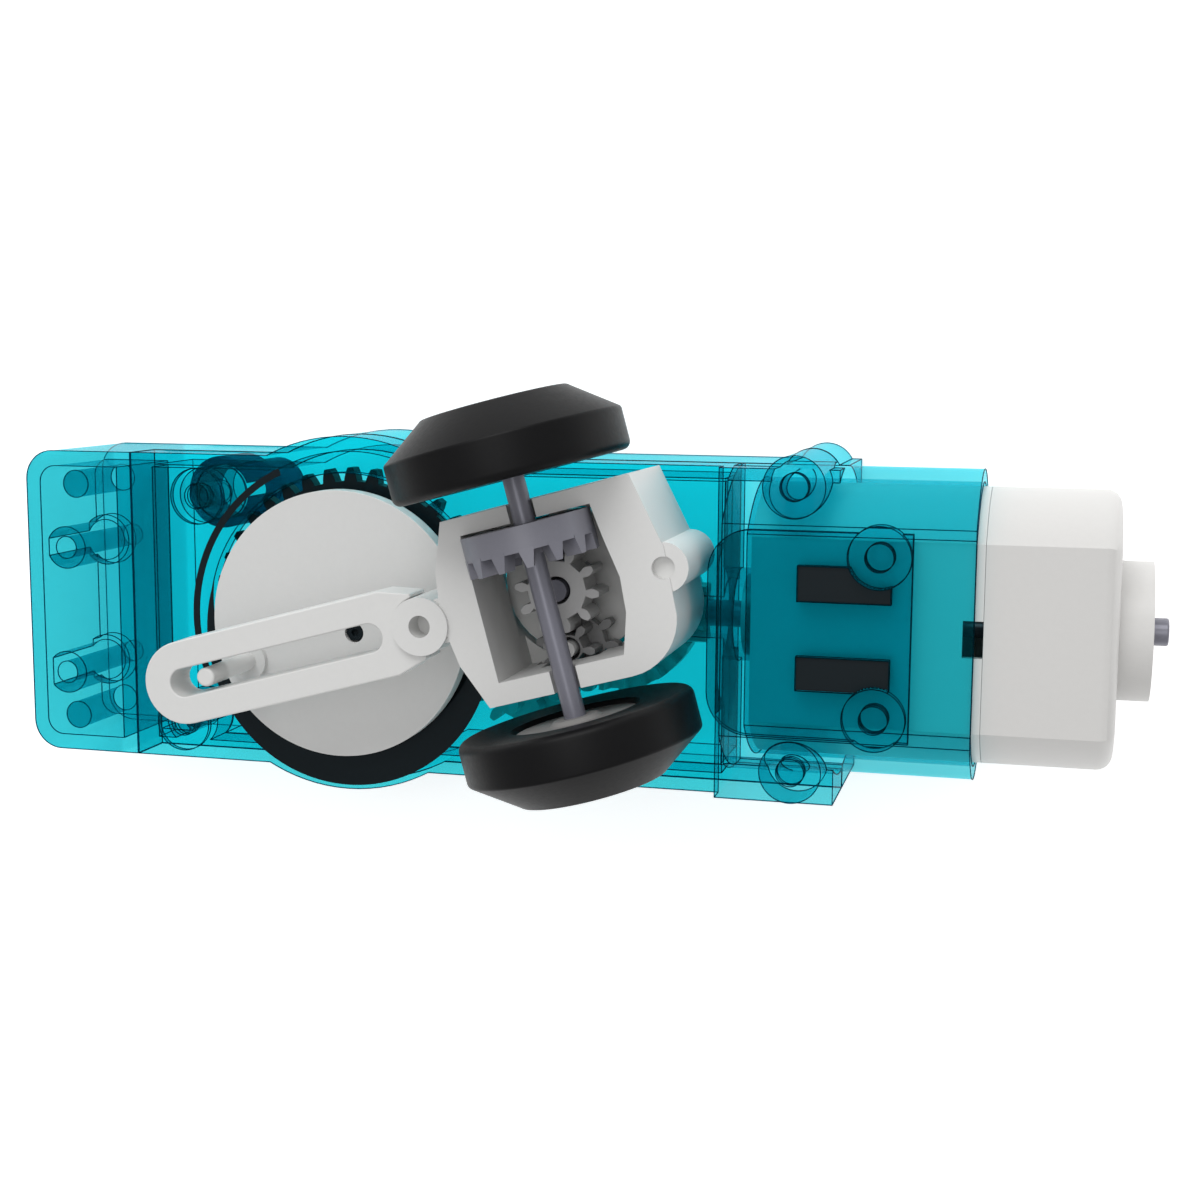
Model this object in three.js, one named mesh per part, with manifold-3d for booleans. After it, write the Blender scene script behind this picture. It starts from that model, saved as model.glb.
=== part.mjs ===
import * as THREE from 'three';
import { mergeVertices } from 'three/addons/utils/BufferGeometryUtils.js';
import Module from 'manifold-3d';

const wasm = await Module();
wasm.setup();

// ---- driving dimensions (mm). +Z is the wheel side, the module lies on its flat back (Z = 0) ----
const MOTOR_Z = 8.6;
const MOTOR_R = 10.05;
const MOTOR_FLAT = 7.55;
const MOTOR_X0 = 13.8;
const MOTOR_CAN_X1 = 30.0;
const MOTOR_X1 = 39.05;
const MOTOR_BOSS_R = 5;
const MOTOR_BOSS_X1 = 41.4;
const SHAFT_R = 1;
const SHAFT_X0 = 6.95;
const SHAFT_X1 = 42.6;

const CASE_X0 = -46;
const CASE_Y0 = -13;
const CASE_Y1 = 11.3;
const TRAY_X1 = -38;
const WALL = 1.2;
const SPLIT_Z = 8;
const SPLIT_GAP = 0.1;
const PLATE_Z = 12;
const EAR_X0 = 12;
const EAR_X1 = 19.6;
const EAR_Z = 13.6;
const COVER_X0 = 11.0;
const COVER_X1 = 25.2;
const COVER_Z = 17.8;
const SLEEVE_X0 = 11.8;
const SLEEVE_X1 = 29.4;
const SLEEVE_R = 11.3;
const SLEEVE_FLAT = 8.35;
const SLEEVE_GAP = 0.25;
const TRAY_FLOOR = 3.4;
const EAR_BOSS_Z = 17.4;
const BOSS_R = 2.2;
const BOSS_HOLE_R = 1.0;
const PANEL_HALF = 7.3;
const PANEL_CORNER = 3;
const FAR = 60;
const BULGE = { x: -18.6, y: -0.9, r: 13.8 };

const CRANK = { x: -18.6, y: -1.4 };
const CRANK_R = 8;
const CRANK_WELL_R = 11.5;
const DISC_R = 10.3;
const PIN_R = 0.7;
const STEER = { x: 0.2, y: 2.6 };
const YOKE_ANGLE = 15.3 * Math.PI / 180;
const YOKE_TOP = 22.0;
const YOKE_BASE = 12.4;
const FLOOR_TOP = 13.6;
const FLOOR_HOLE_R = 5.7;
const SLOT_HALF = 1.05;
const ARM_HALF = 3.1;
const ARM_END = -31.9;
const ARM_Z = 18.6;
const RING_X = -9.4;
const PEG_X = 8.8;
const AXLE_NOTCH = 0.98;

const IDLER = { x: -4.65, y: -4.98 };
const FACE_GEAR = { x: 1.354, y: 0 };
const M_FINE = 0.5;
const M_MAIN = 0.6;
const M_YOKE = 0.55;
const BACK_GEAR_DIST = 4.4;

const AXLE_Z = 21.8;
const AXLE_R = 0.78;
const WHEEL_R = 8.5;
const WHEEL_IN = 8.5;
const WHEEL_TREAD = 3.1;
const WHEEL_CONE = 2.3;
const WHEEL_END_R = 5.5;
const HUB_R = 4.4;

// ---- solid helpers ----
function solid(geometry) {
  const bare = geometry.index ? geometry.toNonIndexed() : geometry.clone();
  bare.deleteAttribute('normal');
  bare.deleteAttribute('uv');
  const joined = mergeVertices(bare, 1e-4);
  const mesh = new wasm.Mesh({
    numProp: 3,
    vertProperties: new Float32Array(joined.attributes.position.array),
    triVerts: new Uint32Array(joined.index.array),
  });
  return new wasm.Manifold(mesh);
}

function toGeometry(body) {
  const mesh = body.getMesh();
  const geometry = new THREE.BufferGeometry();
  geometry.setAttribute('position', new THREE.BufferAttribute(new Float32Array(mesh.vertProperties), 3));
  geometry.setIndex(new THREE.BufferAttribute(new Uint32Array(mesh.triVerts), 1));
  const flat = geometry.toNonIndexed();
  flat.computeVertexNormals();
  return flat;
}

function box(x0, x1, y0, y1, z0, z1) {
  const geometry = new THREE.BoxGeometry(x1 - x0, y1 - y0, z1 - z0);
  geometry.translate((x0 + x1) / 2, (y0 + y1) / 2, (z0 + z1) / 2);
  return solid(geometry);
}

function cylZ(x, y, r, z0, z1, segments = 32) {
  const geometry = new THREE.CylinderGeometry(r, r, z1 - z0, segments);
  geometry.rotateX(Math.PI / 2);
  geometry.translate(x, y, (z0 + z1) / 2);
  return solid(geometry);
}

function cylX(y, z, r, x0, x1, segments = 24) {
  const geometry = new THREE.CylinderGeometry(r, r, x1 - x0, segments);
  geometry.rotateZ(Math.PI / 2);
  geometry.translate((x0 + x1) / 2, y, z);
  return solid(geometry);
}

function cylY(x, z, r, y0, y1, segments = 24) {
  const geometry = new THREE.CylinderGeometry(r, r, y1 - y0, segments);
  geometry.translate(x, (y0 + y1) / 2, z);
  return solid(geometry);
}

function prism(points, z0, z1) {
  const shape = new THREE.Shape(points.map((p) => new THREE.Vector2(p[0], p[1])));
  const geometry = new THREE.ExtrudeGeometry(shape, { depth: z1 - z0, bevelEnabled: false });
  geometry.translate(0, 0, z0);
  return solid(geometry);
}

function arc(cx, cy, r, a0, a1, steps) {
  const points = [];
  for (let i = 0; i <= steps; i += 1) {
    const a = (a0 + (a1 - a0) * i / steps) * Math.PI / 180;
    points.push([cx + r * Math.cos(a), cy + r * Math.sin(a)]);
  }
  return points;
}

function motorSection(r, flat, steps = 8) {
  const a = Math.asin(flat / r) * 180 / Math.PI;
  return [...arc(0, 0, r, -a, a, steps), ...arc(0, 0, r, 180 - a, 180 + a, steps)];
}

// prism of the flat-sided motor outline, running along X
function motorPrism(r, flat, x0, x1) {
  const shape = new THREE.Shape(motorSection(r, flat).map((p) => new THREE.Vector2(p[0], p[1])));
  const geometry = new THREE.ExtrudeGeometry(shape, { depth: x1 - x0, bevelEnabled: false });
  geometry.rotateX(Math.PI / 2);
  geometry.rotateZ(Math.PI / 2);
  geometry.translate(x0, 0, MOTOR_Z);
  return solid(geometry);
}

function unite(...bodies) {
  return bodies.reduce((all, next) => all.add(next));
}

function cut(body, ...tools) {
  return tools.reduce((all, next) => all.subtract(next), body);
}

// ---- gears ----
function involute(r, base) {
  const a = Math.acos(Math.min(1, base / r));
  return Math.tan(a) - a;
}

// tooth outline; a tooth is centred on the angle `phase`
function gearPoints(teeth, module, phase, thick = 0.42, add = 0.7) {
  const r = teeth * module / 2;
  const base = r * Math.cos(20 * Math.PI / 180);
  const tip = r + add * module;
  const root = r - 1.05 * module;
  const start = Math.max(base, root);
  const halfPitch = thick * Math.PI / teeth;
  const half = (radius) => halfPitch + involute(r, base) - involute(radius, base);
  const rootHalf = half(start) * (root < base ? 0.75 : 1.0);
  const flank = [[root, rootHalf], [start, half(start)], [r, half(r)], [tip, half(tip)]];
  const points = [];
  for (let k = 0; k < teeth; k += 1) {
    const a = phase + 2 * Math.PI * k / teeth;
    flank.forEach(([radius, h]) => points.push([radius * Math.cos(a - h), radius * Math.sin(a - h)]));
    [...flank].reverse().forEach(([radius, h]) => {
      points.push([radius * Math.cos(a + h), radius * Math.sin(a + h)]);
    });
  }
  return points;
}

// phase of the second gear so that it meshes with the first; `dir` points from first to second
function meshPhase(teethA, phaseA, dir, teethB) {
  return dir + Math.PI + (teethA * (dir - phaseA) - Math.PI) / teethB;
}

// ring of radial face teeth pointing along +Z from z = 0, centred on the origin
function faceTeeth(teeth, module, rIn, rOut, height, phase) {
  const pitch = Math.PI * module;
  const foot = 0.3 * pitch;
  const tip = 0.13 * pitch;
  const bars = [];
  for (let k = 0; k < teeth; k += 1) {
    const section = [[-foot, -0.2], [foot, -0.2], [foot, 0], [tip, height], [-tip, height], [-foot, 0]];
    const shape = new THREE.Shape(section.map((p) => new THREE.Vector2(p[0], p[1])));
    const geometry = new THREE.ExtrudeGeometry(shape, { depth: rOut - rIn, bevelEnabled: false });
    geometry.rotateX(Math.PI / 2);
    geometry.rotateZ(Math.PI / 2);
    geometry.translate(rIn, 0, 0);
    geometry.rotateZ(phase + 2 * Math.PI * k / teeth);
    bars.push(solid(geometry));
  }
  return bars;
}

// ---- housing ----
function planOutline(inset) {
  const r = 2.3 - inset * 0.8;
  const x0 = CASE_X0 + inset;
  const y0 = CASE_Y0 + inset;
  const y1 = CASE_Y1 - inset;
  return [
    ...arc(x0 + r, y0 + r, r, 180, 270, 5),
    [EAR_X1 - inset, y0],
    [EAR_X1 - inset, y1],
    ...arc(x0 + r, y1 - r, r, 90, 180, 5),
  ];
}

function caseBody(inset, z0, z1) {
  const bulge = cylZ(BULGE.x, BULGE.y, BULGE.r - inset, z0, z1, 44);
  return unite(prism(planOutline(inset), z0, z1), bulge);
}

// screw bosses on both halves: x, y and the height of the top
const BOSSES = [
  [-30.9, 8.0, PLATE_Z + 0.4],
  [16.9, 10.3, EAR_BOSS_Z],
  [17.0, -9.9, EAR_BOSS_Z],
  [-32.5, -10.2, PLATE_Z + 0.4],
];
const COVER_BOSSES = [[23.0, 5.7], [22.85, -5.6]];
const TRAY_TUBES = [[-43.25, 3.4], [-43.5, -6.85]];
const TRAY_POSTS = [[-42.2, 8.6], [-42.6, -10.35]];
const WINDOWS = [[2.4, 4.9], [-3.9, -1.5]];
const WINDOW_X = [17.3, 23.8];
const GEAR_PINS = [[FACE_GEAR, 0.75], [IDLER, 0.75], [CRANK, 1.5]];
const PEG_R = 0.75;

function leftOf(x) {
  return box(-FAR, x, -FAR, FAR, -FAR, FAR);
}

function rightOf(x) {
  return box(x, FAR, -FAR, FAR, -FAR, FAR);
}

function caseBack() {
  const top = SPLIT_Z - SPLIT_GAP;
  const trayEnd = TRAY_X1 + WALL;
  const hollow = cut(caseBody(WALL, WALL, top + 1), leftOf(trayEnd), rightOf(EAR_X0 - 1.7));
  const main = cut(caseBody(0, 0, top), leftOf(trayEnd), hollow);
  const trayHollow = cut(caseBody(WALL, TRAY_FLOOR, PLATE_Z + 1), rightOf(TRAY_X1));
  const tray = cut(caseBody(0, 0, PLATE_Z).intersect(leftOf(trayEnd)), trayHollow);
  let body = unite(main, tray);
  TRAY_TUBES.forEach(([x, y]) => {
    const tube = unite(cylZ(x, y, 1.7, 3, 11, 16), cylZ(x, y, 2.1, 3, 4.6, 16));
    body = cut(unite(body, tube), cylZ(x, y, 0.9, -1, PLATE_Z, 12));
  });
  TRAY_POSTS.forEach(([x, y]) => {
    body = unite(body, cylZ(x, y, 1.1, 3, 11, 12));
  });
  BOSSES.forEach(([x, y]) => {
    body = unite(body, cylZ(x, y, BOSS_R, 0, top, 16), cylZ(x, y, PEG_R, top - 1, 10.4, 10));
  });
  body = unite(body, motorPrism(SLEEVE_R, SLEEVE_FLAT, SLEEVE_X0, SLEEVE_X1));
  const bore = motorPrism(MOTOR_R + 0.3, MOTOR_FLAT + 0.2, MOTOR_X0 - 0.3, SLEEVE_X1 + 1);
  body = cut(body, bore, cylX(0, MOTOR_Z, 3.5, SLEEVE_X0 - 2, MOTOR_X0 + 1));
  body = cut(body, box(28, 32, -1.5, 1.5, 14, 20));
  COVER_BOSSES.forEach(([x, y]) => {
    body = unite(body, cylZ(x, y, PEG_R, 16.5, 17.35, 10));
  });
  GEAR_PINS.forEach(([at, r]) => {
    body = unite(body, cylZ(at.x, at.y, r + 1.1, 0.6, 2.6, 24));
    body = cut(body, cylZ(at.x, at.y, r + 0.05, 0.5, 5, 24));
  });
  return body;
}

// the body less the round of each cover boss
function besideBosses(body, r) {
  return cut(body, ...COVER_BOSSES.map(([x, y]) => cylZ(x, y, r, 16, 21, 16)));
}

function caseFront() {
  const z0 = SPLIT_Z + SPLIT_GAP;
  const x0 = TRAY_X1 + WALL + SPLIT_GAP;
  const shell = cut(caseBody(0, z0, PLATE_Z), caseBody(WALL, z0 - 1, PLATE_Z - WALL));
  const endWall = box(x0, x0 + WALL, CASE_Y0 + 0.5, CASE_Y1 - 0.5, z0, PLATE_Z - 1);
  let body = cut(unite(shell, endWall), leftOf(x0), rightOf(EAR_X0 - 1));
  const corner = COVER_X0 + PANEL_CORNER;
  const bend = PANEL_HALF - PANEL_CORNER;
  const panel = prism([
    ...arc(corner, -bend, PANEL_CORNER, 180, 270, 6),
    [COVER_X1, -PANEL_HALF],
    [COVER_X1, PANEL_HALF],
    ...arc(corner, bend, PANEL_CORNER, 90, 180, 6),
  ], PLATE_Z - 1, COVER_Z);
  body = unite(
    body,
    box(EAR_X0 - 1.1, EAR_X1, CASE_Y0, CASE_Y1, z0, EAR_Z),
    box(COVER_X0, EAR_X0 - 0.4, CASE_Y0, CASE_Y1, PLATE_Z - 1, EAR_Z),
    panel,
  );
  const underCover = box(EAR_X0 - 0.1, FAR, -PANEL_HALF, PANEL_HALF, z0 - 1, 17);
  body = cut(body, underCover);
  const posts = [
    ...BOSSES.map(([x, y, top]) => [x, y, z0, top]),
    ...COVER_BOSSES.map(([x, y]) => [x, y, 17.2, COVER_Z + 0.7]),
  ];
  posts.forEach(([x, y, low, top]) => {
    body = unite(body, cylZ(x, y, BOSS_R, low, top, 16));
    const blind = cylZ(x, y, BOSS_HOLE_R, top - 0.5, top + 1, 12);
    body = cut(body, cylZ(x, y, BOSS_HOLE_R, low - 1, top - 0.9, 12), blind);
  });
  const sleeveRoom = [SLEEVE_R + SLEEVE_GAP, SLEEVE_FLAT + SLEEVE_GAP, SLEEVE_X0 - SLEEVE_GAP, FAR];
  body = cut(body, motorPrism(...sleeveRoom));
  WINDOWS.forEach(([y0, y1]) => {
    body = cut(body, besideBosses(box(...WINDOW_X, y0, y1, 16.98, 20), BOSS_R));
  });
  body = cut(body, cylZ(CRANK.x, CRANK.y, CRANK_WELL_R, PLATE_Z - 2, PLATE_Z + 1, 40));
  body = unite(body, cylZ(IDLER.x, IDLER.y, 2, 10.8, PLATE_Z, 24));
  body = cut(body, cylZ(IDLER.x, IDLER.y, 0.8, 10, PLATE_Z - 0.3, 20));
  body = cut(body, cylZ(STEER.x, STEER.y, 3.15, 10, PLATE_Z + 1, 32));
  return cut(body, cylX(0, MOTOR_Z, 2.7, 6.4, 13));
}

// dark pad that fills a window of the cover and presses on the motor sleeve
function motorPad(y0, y1) {
  const gap = 0.05;
  const [x0, x1] = WINDOW_X;
  return besideBosses(box(x0 + gap, x1 - gap, y0 + gap, y1 - gap, 17.02, COVER_Z - 0.1), BOSS_R + gap);
}

// ---- motor ----
function motorCan() {
  const body = cut(
    motorPrism(MOTOR_R, MOTOR_FLAT, MOTOR_X0, MOTOR_CAN_X1),
    motorPrism(MOTOR_R - 0.6, MOTOR_FLAT - 0.6, MOTOR_X0 + 0.6, MOTOR_CAN_X1 + 1),
    cylX(0, MOTOR_Z, SHAFT_R + 0.3, MOTOR_X0 - 1, MOTOR_X0 + 2),
  );
  const nose = cut(cylX(0, MOTOR_Z, 3.05, 12.3, MOTOR_X0 + 0.3), cylX(0, MOTOR_Z, SHAFT_R + 0.3, 12, 15));
  return cut(unite(body, nose), box(28.6, 32, -1.3, 1.3, 15, 18));
}

function motorEndBell() {
  const bell = unite(
    motorPrism(MOTOR_R, MOTOR_FLAT, MOTOR_CAN_X1 + 0.1, MOTOR_X1),
    cylX(0, MOTOR_Z, MOTOR_BOSS_R, MOTOR_X1 - 0.5, MOTOR_BOSS_X1, 32),
  );
  return cut(bell, cylX(0, MOTOR_Z, SHAFT_R + 0.3, MOTOR_CAN_X1 - 1, MOTOR_BOSS_X1 + 1),
    cylX(0, MOTOR_Z, 6.8, MOTOR_CAN_X1 - 1, MOTOR_CAN_X1 + 5, 32));
}

function motorShaft() {
  return cylX(0, MOTOR_Z, SHAFT_R, SHAFT_X0, SHAFT_X1, 20);
}

function onShaft(body, x0, x1, r = SHAFT_R + 0.02) {
  return cut(body, cylX(0, MOTOR_Z, r, x0 - 1, x1 + 1, 20));
}

function motorRotor() {
  const poles = unite(
    ...[0, 1, 2].map((k) => {
      const fan = prism([[0, 0], ...arc(0, 0, 5.9, -44, 44, 6)], 0, 9);
      return fan.rotate([0, 0, 120 * k]);
    }),
    cylZ(0, 0, 2.6, 0, 9, 24),
  );
  const laid = poles.rotate([0, 90, 0]).translate([17.2, 0, MOTOR_Z]);
  return onShaft(laid, 16, 28);
}

function motorMagnet(side) {
  const outer = motorPrism(MOTOR_R - 0.75, MOTOR_FLAT - 0.75, 16.2, 27.2);
  const keep = side > 0 ? box(15, 29, 4.2, 12, 0, 20) : box(15, 29, -12, -4.2, 0, 20);
  return cut(outer.intersect(keep), cylX(0, MOTOR_Z, 6.5, 15, 29, 40));
}

function motorPinion() {
  const phase = Math.PI / 8;
  const gear = prism(gearPoints(8, M_FINE, phase, 0.36, 0.6), 0, 2.3).rotate([0, 90, 0]);
  return onShaft(gear.translate([7.0, 0, MOTOR_Z]), 6, 10);
}

// ---- gear train ----
const DIR_FACE_IDLER = Math.atan2(IDLER.y - FACE_GEAR.y, IDLER.x - FACE_GEAR.x);
const DIR_IDLER_CRANK = Math.atan2(CRANK.y - IDLER.y, CRANK.x - IDLER.x);
const DIR_IDLER_STEER = Math.atan2(STEER.y - IDLER.y, STEER.x - IDLER.x);
const DIR_BACK = YOKE_ANGLE - Math.PI / 2 - 0.12;
const BACK = {
  x: STEER.x + BACK_GEAR_DIST * Math.cos(DIR_BACK),
  y: STEER.y + BACK_GEAR_DIST * Math.sin(DIR_BACK),
};
const LIGHT_PHASE = YOKE_ANGLE + Math.PI / 2;

function faceGear() {
  const disc = cylZ(0, 0, 6.8, 4.0, 5.6, 40);
  const teeth = faceTeeth(26, M_FINE, 5.8, 6.8, 1.3, 0).map((bar) => bar.translate([0, 0, 5.6]));
  const hub = cylZ(0, 0, 2.2, 3.0, 7.6, 24);
  const small = prism(gearPoints(10, M_MAIN, 0, 0.4), 7.5, 9.0);
  const all = unite(disc, ...teeth, hub, small);
  return cut(all, cylZ(0, 0, 0.95, 0, 12, 20)).translate([FACE_GEAR.x, FACE_GEAR.y, 0]);
}

function idlerGear() {
  const phase = meshPhase(10, 0, DIR_FACE_IDLER, 16);
  const big = prism(gearPoints(16, M_MAIN, phase, 0.38), 7.5, 9.0);
  const small = prism(gearPoints(10, M_MAIN, 0), 8.9, 10.5);
  return cut(unite(big, small), cylZ(0, 0, 0.95, 0, 12, 20)).translate([IDLER.x, IDLER.y, 0]);
}

function crankGear() {
  const phase = meshPhase(10, 0, DIR_IDLER_CRANK, 38);
  const gear = unite(prism(gearPoints(38, M_MAIN, phase), 9.2, 10.5), cylZ(0, 0, 3.4, 7.4, 12.1, 32));
  const holes = [0, 1, 2, 3, 4].map((k) => {
    const a = 2 * Math.PI * k / 5;
    return cylZ(6.6 * Math.cos(a), 6.6 * Math.sin(a), 1.9, 9, 11, 14);
  });
  return cut(gear, ...holes, cylZ(0, 0, 1.52, 0, 20, 24)).translate([CRANK.x, CRANK.y, 0]);
}

function crankPinPoint() {
  const reach = Math.hypot(STEER.x - CRANK.x, STEER.y - CRANK.y);
  const line = Math.atan2(STEER.y - CRANK.y, STEER.x - CRANK.x);
  const off = YOKE_ANGLE - line;
  const length = reach * Math.cos(off) + Math.sqrt(CRANK_R ** 2 - (reach * Math.sin(off)) ** 2);
  return [STEER.x - length * Math.cos(YOKE_ANGLE), STEER.y - length * Math.sin(YOKE_ANGLE)];
}

function crankDisc() {
  const [px, py] = crankPinPoint();
  const disc = unite(cylZ(CRANK.x, CRANK.y, DISC_R, 12.3, 13.8, 44), cylZ(px, py, 1.5, 13.5, 14.3, 20));
  const dimple = cylZ(CRANK.x + 1.35, CRANK.y - 0.6, 0.75, 13.0, 15, 16);
  const socket = cylZ(CRANK.x, CRANK.y, 1.52, 12, 12.95, 24);
  return cut(disc, socket, dimple, cylZ(px, py, PIN_R + 0.02, 12.8, 15, 16));
}

function crankPin() {
  const [px, py] = crankPinPoint();
  return cylZ(px, py, PIN_R, 12.85, 21.5, 16);
}

function steerGear() {
  const phase = meshPhase(10, 0, DIR_IDLER_STEER, 20);
  const gear = unite(prism(gearPoints(20, M_MAIN, phase), 9.2, 10.5), cylZ(0, 0, 2.2, 10.4, 11.6, 24));
  return cut(gear, cylZ(0, 0, 1.02, 0, 20, 20)).translate([STEER.x, STEER.y, 0]);
}

function pivotRing() {
  const { x, y } = STEER;
  const ring = unite(cylZ(x, y, 5.4, 12.1, 13.3, 36), cylZ(x, y, 3.05, 11.75, 12.2, 32));
  return cut(ring, cylZ(x, y, 1.3, 10, 20, 24));
}

// ---- yoke: built along +X of its own frame, then turned about the steering axis ----
function toYoke(body) {
  return body.rotate([0, 0, YOKE_ANGLE * 180 / Math.PI]).translate([STEER.x, STEER.y, 0]);
}

const CAGE = [
  [-5.9, -6.8], [4.8, -6.8], [6.8, -6.2], [8.2, -4.4], [9.0, -1.5], [9.2, 1.5], [8.1, 6.8],
  [-6.0, 6.8], [-7.3, 3.4], [-7.8, 0], [-7.3, -3.4],
];
const WINDOW = [
  [-4.8, -5.2], [4.6, -5.2], [5.5, -2.4], [5.7, 0.1], [5.2, 3.1], [4.9, 5.5], [-4.8, 5.5],
];

function yokeCage() {
  let body = prism(CAGE, YOKE_BASE, YOKE_TOP);
  body = cut(body, prism(WINDOW, FLOOR_TOP, YOKE_TOP + 1), cylZ(0, 0, FLOOR_HOLE_R, 10, 15, 36));
  body = unite(
    body,
    cylZ(PEG_X, 0, 1.75, YOKE_BASE, YOKE_TOP - 0.2, 24),
    box(RING_X, -7, -1.6, 1.6, ARM_Z, YOKE_TOP - 0.2),
    cylZ(RING_X, 0, 2.1, 16.5, YOKE_TOP + 0.3, 24),
  );
  body = cut(
    body,
    cylZ(RING_X, 0, 0.8, YOKE_TOP - 1.6, YOKE_TOP + 1, 16),
    cylZ(PEG_X, 0, 0.8, YOKE_TOP - 0.7, YOKE_TOP + 1, 16),
    box(-AXLE_NOTCH, AXLE_NOTCH, -8, 8, AXLE_Z, YOKE_TOP + 1),
    cylY(0, AXLE_Z, AXLE_NOTCH, -8, 8, 20),
    box(-3.9, 3.0, -8, -4.9, 14.0, 15.6),
    box(-2.8, 1.7, -8, -4.9, 15.5, 18.0),
  );
  const a = DIR_BACK - YOKE_ANGLE;
  const post = [BACK_GEAR_DIST * Math.cos(a), BACK_GEAR_DIST * Math.sin(a)];
  const tongue = box(-1.7, 0.7, -6.0, -4.3, FLOOR_TOP - 0.1, 14.0);
  const foot = cylZ(post[0], post[1], 1.2, FLOOR_TOP - 0.1, 14.0, 20);
  return unite(body, tongue, foot, cylZ(post[0], post[1], 0.6, 13.9, 18.2, 16));
}

function yokeArm() {
  const tip = ARM_END + ARM_HALF;
  const plan = [
    ...arc(tip, 0, ARM_HALF, 90, 270, 12),
    [-12, -ARM_HALF],
    [RING_X - 0.3, -2.4],
    [RING_X - 0.3, 2.4],
    [-12, ARM_HALF],
  ];
  const slot = [
    ...arc(tip, 0, SLOT_HALF, 90, 270, 8),
    ...arc(-13.6, 0, SLOT_HALF, -90, 90, 8),
  ];
  return cut(prism(plan, ARM_Z, YOKE_TOP - 0.2), prism(slot, 15, 25), cylZ(RING_X, 0, 2.15, 10, 25, 24));
}

function backGear() {
  const upper = meshPhase(10, LIGHT_PHASE, DIR_BACK, 6);
  const gear = unite(
    prism(gearPoints(10, M_YOKE, 0, 0.4, 0.7), 14.2, 15.3),
    prism(gearPoints(6, M_YOKE, upper, 0.36, 0.55), 15.2, 17.6),
  );
  return cut(gear, cylZ(0, 0, 0.85, 10, 20, 16)).translate([BACK.x, BACK.y, 0]);
}

function drivePinion() {
  const phase = meshPhase(10, 0, DIR_BACK + Math.PI, 6);
  const gear = prism(gearPoints(6, M_YOKE, phase, 0.36, 0.55), 14.1, 15.4);
  return cut(gear, cylZ(0, 0, 0.82, 0, 30, 20)).translate([STEER.x, STEER.y, 0]);
}

function driveShaft() {
  const post = unite(cylZ(0, 0, 1.0, 9.2, 13.9, 20), cylZ(0, 0, 0.8, 13.8, 18.9, 20));
  return post.translate([STEER.x, STEER.y, 0]);
}

function lightGear() {
  const gear = prism(gearPoints(10, M_YOKE, LIGHT_PHASE, 0.4, 0.7), 15.6, 18.6);
  return cut(gear, cylZ(0, 0, 1.0, 10, 20, 20)).translate([STEER.x, STEER.y, 0]);
}

// ---- axle and wheels, built along Y of the yoke frame ----
function crownGear() {
  const disc = cylZ(0, 0, 4.65, 0, 1.75, 36);
  const teeth = faceTeeth(14, M_YOKE, 3.2, 4.65, 1.15, 0).map((bar) => bar.translate([0, 0, 1.75]));
  const ring = unite(disc, ...teeth, cylZ(0, 0, 1.7, 0, 2.2, 20));
  const bored = cut(ring, cylZ(0, 0, AXLE_R + 0.02, -1, 4, 20));
  return toYoke(bored.rotate([90, 0, 0]).translate([0, 5.3, AXLE_Z]));
}

function axle() {
  return toYoke(cylY(0, AXLE_Z, AXLE_R, -11.2, 11.2, 20));
}

function wheelLathe(points, side) {
  const geometry = new THREE.LatheGeometry(points.map((p) => new THREE.Vector2(p[0], p[1])), 36);
  const body = solid(geometry);
  const turned = side > 0 ? body : body.rotate([180, 0, 0]);
  return toYoke(turned.translate([0, 0, AXLE_Z]));
}

function tyre(side) {
  const out = WHEEL_IN + WHEEL_TREAD;
  const end = out + WHEEL_CONE;
  return wheelLathe([
    [HUB_R + 0.05, WHEEL_IN + 0.35], [WHEEL_R - 0.5, WHEEL_IN], [WHEEL_R, WHEEL_IN + 0.5], [WHEEL_R, out],
    [WHEEL_END_R, end], [HUB_R + 0.05, end], [HUB_R + 0.05, WHEEL_IN + 0.35],
  ], side);
}

function hub(side) {
  const end = WHEEL_IN + WHEEL_TREAD + WHEEL_CONE - 0.6;
  const b = AXLE_R + 0.02;
  return wheelLathe([
    [b, WHEEL_IN + 0.1], [HUB_R, WHEEL_IN + 0.5], [HUB_R, end], [0, end],
    [0, 11.25], [b, 11.25], [b, WHEEL_IN + 0.1],
  ], side);
}

// ---- assembly ----
const FINISH = {
  clear: { color: 0x10b4d0, roughness: 0.12, metalness: 0 },
  white: { color: 0xd6d6d3, roughness: 0.5, metalness: 0 },
  motor: { color: 0xc9c8c5, roughness: 0.45, metalness: 0 },
  can: { color: 0xb9bbbd, roughness: 0.35, metalness: 0.8 },
  steel: { color: 0x8a8a94, roughness: 0.3, metalness: 0.9 },
  violet: { color: 0x80808c, roughness: 0.45, metalness: 0.2 },
  pale: { color: 0x9c9c9c, roughness: 0.5, metalness: 0 },
  dark: { color: 0x5e5e60, roughness: 0.5, metalness: 0 },
  black: { color: 0x232325, roughness: 0.5, metalness: 0 },
  rubber: { color: 0x1e1e20, roughness: 0.75, metalness: 0 },
  magnet: { color: 0x3a3a3d, roughness: 0.7, metalness: 0.2 },
  copper: { color: 0x9a6a3c, roughness: 0.5, metalness: 0.6 },
};

const group = new THREE.Group();

function place(name, body, finish) {
  const material = new THREE.MeshStandardMaterial(FINISH[finish]);
  material.name = finish;
  if (finish === 'clear') {
    material.transparent = true;
    material.opacity = 0.35;
  }
  const mesh = new THREE.Mesh(toGeometry(body), material);
  mesh.name = name;
  group.add(mesh);
}

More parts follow.
